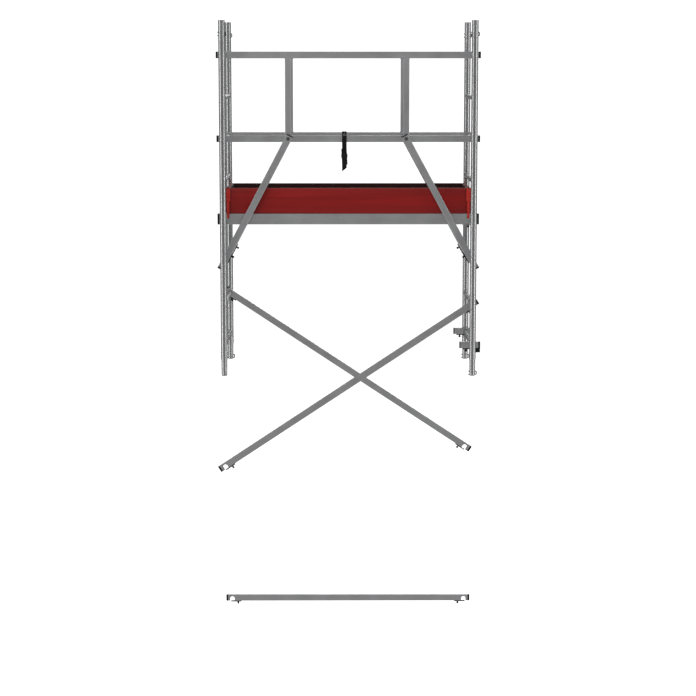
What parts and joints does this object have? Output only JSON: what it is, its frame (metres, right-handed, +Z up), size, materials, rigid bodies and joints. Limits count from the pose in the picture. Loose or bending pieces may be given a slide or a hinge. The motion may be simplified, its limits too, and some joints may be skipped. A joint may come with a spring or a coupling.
{
  "type": "frame scaffold section",
  "caption": "Aluminium frame scaffold section: ladder end frames, decked platform with red toe boards, guardrails, braces and stand-off.",
  "frame": {"origin": "middle of the plane on which the shoulders of the four upright tubes stand on the section below", "axes": "+X along the bay towards the end that carries the stand-off bracket, +Y across the frames towards the rear, +Z up"},
  "size_m": [1.6062, 0.7398, 3.7563],
  "materials": {
    "aluminium_tube": "extruded, lightly brushed, dull",
    "aluminium_upright": "drawn round tube, brushed along its length",
    "aluminium_deck": "extruded, matt mill finish",
    "zinc_steel": "zinc plated",
    "pin_steel": "dark coated spring steel wire",
    "black_plastic": "moulded nylon, fine grain",
    "red_board": "dark red coated panel, scuffed",
    "red_plastic": "bright red moulded plastic",
    "plywood": "film-faced birch plywood, non-slip mesh",
    "webbing": "woven polyester webbing"
  },
  "bodies": {
    "root": {"left_front_upright": "aluminium_upright", "left_rear_upright": "aluminium_upright", "right_front_upright": "aluminium_upright", "right_rear_upright": "aluminium_upright", "left_rungs": "aluminium_upright", "right_rungs": "aluminium_upright", "spigots": "aluminium_upright", "front_guardrail": "aluminium_tube", "rear_guardrail": "aluminium_tube", "guardrail_caps": "black_plastic", "strut_pivots": "zinc_steel", "deck_beams": "aluminium_deck", "deck_cross_members": "aluminium_deck", "deck_panel": "plywood", "deck_caps": "black_plastic", "deck_hinges": "zinc_steel", "front_toe_board": "red_board", "rear_toe_board": "red_board", "end_toe_boards": "red_board", "toe_board_corners": "red_plastic", "front_diagonal": "aluminium_tube", "front_diagonal_caps": "black_plastic", "rear_diagonal": "aluminium_tube", "rear_diagonal_caps": "black_plastic", "level_brace": "aluminium_tube", "level_brace_caps": "black_plastic", "stand_off": "aluminium_tube", "stand_off_caps": "black_plastic", "strap": "webbing"},
    "strut_left_front": {"strut_left_front": "aluminium_tube", "strut_caps_left_front": "black_plastic"},
    "strut_lock_left_front": {"strut_lock_left_front": "black_plastic"},
    "strut_left_rear": {"strut_left_rear": "aluminium_tube", "strut_caps_left_rear": "black_plastic"},
    "strut_lock_left_rear": {"strut_lock_left_rear": "black_plastic"},
    "strut_right_front": {"strut_right_front": "aluminium_tube", "strut_caps_right_front": "black_plastic"},
    "strut_lock_right_front": {"strut_lock_right_front": "black_plastic"},
    "strut_right_rear": {"strut_right_rear": "aluminium_tube", "strut_caps_right_rear": "black_plastic"},
    "strut_lock_right_rear": {"strut_lock_right_rear": "black_plastic"},
    "front_diagonal_low_lock": {"front_diagonal_low_lock": "black_plastic"},
    "front_diagonal_high_lock": {"front_diagonal_high_lock": "black_plastic"},
    "rear_diagonal_low_lock": {"rear_diagonal_low_lock": "black_plastic"},
    "rear_diagonal_high_lock": {"rear_diagonal_high_lock": "black_plastic"},
    "level_brace_left_lock": {"level_brace_left_lock": "black_plastic"},
    "level_brace_right_lock": {"level_brace_right_lock": "black_plastic"},
    "stand_off_front_lock": {"stand_off_front_lock": "black_plastic"},
    "stand_off_rear_lock": {"stand_off_rear_lock": "black_plastic"},
    "deck_lock": {"deck_lock_bar": "zinc_steel", "deck_lock_grips": "black_plastic"},
    "hatch": {"hatch": "plywood", "hatch_hinges": "zinc_steel"},
    "top_pin_left_front": {"top_pin_left_front": "pin_steel"},
    "top_pin_left_rear": {"top_pin_left_rear": "pin_steel"},
    "top_pin_right_front": {"top_pin_right_front": "pin_steel"},
    "top_pin_right_rear": {"top_pin_right_rear": "pin_steel"},
    "joint_pin_left_rear": {"joint_pin_left_rear": "pin_steel"},
    "joint_pin_right_front": {"joint_pin_right_front": "pin_steel"},
    "joint_pin_right_rear": {"joint_pin_right_rear": "pin_steel"}
  },
  "joints": [
    {"name": "strut_left_front_swing", "type": "hinge", "parent": "root", "child": "strut_left_front", "pos_m": [-0.363, -0.297, 1.335], "axis": [0, 1, 0], "range_deg": [0, 6.5]},
    {"name": "strut_lock_left_front_slide", "type": "slide", "parent": "strut_left_front", "child": "strut_lock_left_front", "axis": [-0.466, 0, -0.8848], "range_m": [0, 0.025]},
    {"name": "strut_left_rear_swing", "type": "hinge", "parent": "root", "child": "strut_left_rear", "pos_m": [-0.363, 0.297, 1.335], "axis": [0, 1, 0], "range_deg": [0, 6.5]},
    {"name": "strut_lock_left_rear_slide", "type": "slide", "parent": "strut_left_rear", "child": "strut_lock_left_rear", "axis": [-0.466, 0, -0.8848], "range_m": [0, 0.025]},
    {"name": "strut_right_front_swing", "type": "hinge", "parent": "root", "child": "strut_right_front", "pos_m": [0.349, -0.297, 1.335], "axis": [0, -1, 0], "range_deg": [0, 6.5]},
    {"name": "strut_lock_right_front_slide", "type": "slide", "parent": "strut_right_front", "child": "strut_lock_right_front", "axis": [0.4787, 0, -0.878], "range_m": [0, 0.025]},
    {"name": "strut_right_rear_swing", "type": "hinge", "parent": "root", "child": "strut_right_rear", "pos_m": [0.349, 0.297, 1.335], "axis": [0, -1, 0], "range_deg": [0, 6.5]},
    {"name": "strut_lock_right_rear_slide", "type": "slide", "parent": "strut_right_rear", "child": "strut_lock_right_rear", "axis": [0.4787, 0, -0.878], "range_m": [0, 0.025]},
    {"name": "front_diagonal_low_lock_slide", "type": "slide", "parent": "root", "child": "front_diagonal_low_lock", "axis": [0.8337, 0, 0.5521], "range_m": [0, 0.025], "stiffness_N_per_m": 300, "springref_m": -0.01},
    {"name": "front_diagonal_high_lock_slide", "type": "slide", "parent": "root", "child": "front_diagonal_high_lock", "axis": [-0.8337, 0, -0.5521], "range_m": [0, 0.025], "stiffness_N_per_m": 300, "springref_m": -0.01},
    {"name": "rear_diagonal_low_lock_slide", "type": "slide", "parent": "root", "child": "rear_diagonal_low_lock", "axis": [-0.8337, 0, 0.5521], "range_m": [0, 0.025], "stiffness_N_per_m": 300, "springref_m": -0.01},
    {"name": "rear_diagonal_high_lock_slide", "type": "slide", "parent": "root", "child": "rear_diagonal_high_lock", "axis": [0.8337, 0, -0.5521], "range_m": [0, 0.025], "stiffness_N_per_m": 300, "springref_m": -0.01},
    {"name": "level_brace_left_lock_slide", "type": "slide", "parent": "root", "child": "level_brace_left_lock", "axis": [1, 0, 0], "range_m": [0, 0.025], "stiffness_N_per_m": 300, "springref_m": -0.01},
    {"name": "level_brace_right_lock_slide", "type": "slide", "parent": "root", "child": "level_brace_right_lock", "axis": [-1, 0, 0], "range_m": [0, 0.025], "stiffness_N_per_m": 300, "springref_m": -0.01},
    {"name": "stand_off_front_lock_slide", "type": "slide", "parent": "root", "child": "stand_off_front_lock", "axis": [-1, 0, 0], "range_m": [0, 0.025], "stiffness_N_per_m": 300, "springref_m": -0.01},
    {"name": "stand_off_rear_lock_slide", "type": "slide", "parent": "root", "child": "stand_off_rear_lock", "axis": [-1, 0, 0], "range_m": [0, 0.025], "stiffness_N_per_m": 300, "springref_m": -0.01},
    {"name": "deck_lock_slide", "type": "slide", "parent": "root", "child": "deck_lock", "axis": [-1, 0, 0], "range_m": [0, 0.025], "stiffness_N_per_m": 300, "springref_m": -0.015},
    {"name": "hatch_hinge", "type": "hinge", "parent": "root", "child": "hatch", "pos_m": [-0.35, 0.1915, 0.885], "axis": [-1, 0, 0], "range_deg": [0, 100]},
    {"name": "top_pin_left_front_slide", "type": "slide", "parent": "root", "child": "top_pin_left_front", "axis": [1, 0, 0], "range_m": [0, 0.06]},
    {"name": "top_pin_left_rear_slide", "type": "slide", "parent": "root", "child": "top_pin_left_rear", "axis": [1, 0, 0], "range_m": [0, 0.06]},
    {"name": "top_pin_right_front_slide", "type": "slide", "parent": "root", "child": "top_pin_right_front", "axis": [1, 0, 0], "range_m": [0, 0.06]},
    {"name": "top_pin_right_rear_slide", "type": "slide", "parent": "root", "child": "top_pin_right_rear", "axis": [1, 0, 0], "range_m": [0, 0.06]},
    {"name": "joint_pin_left_rear_slide", "type": "slide", "parent": "root", "child": "joint_pin_left_rear", "axis": [1, 0, 0], "range_m": [0, 0.06]},
    {"name": "joint_pin_right_front_slide", "type": "slide", "parent": "root", "child": "joint_pin_right_front", "axis": [1, 0, 0], "range_m": [0, 0.06]},
    {"name": "joint_pin_right_rear_slide", "type": "slide", "parent": "root", "child": "joint_pin_right_rear", "axis": [1, 0, 0], "range_m": [0, 0.06]}
  ]
}
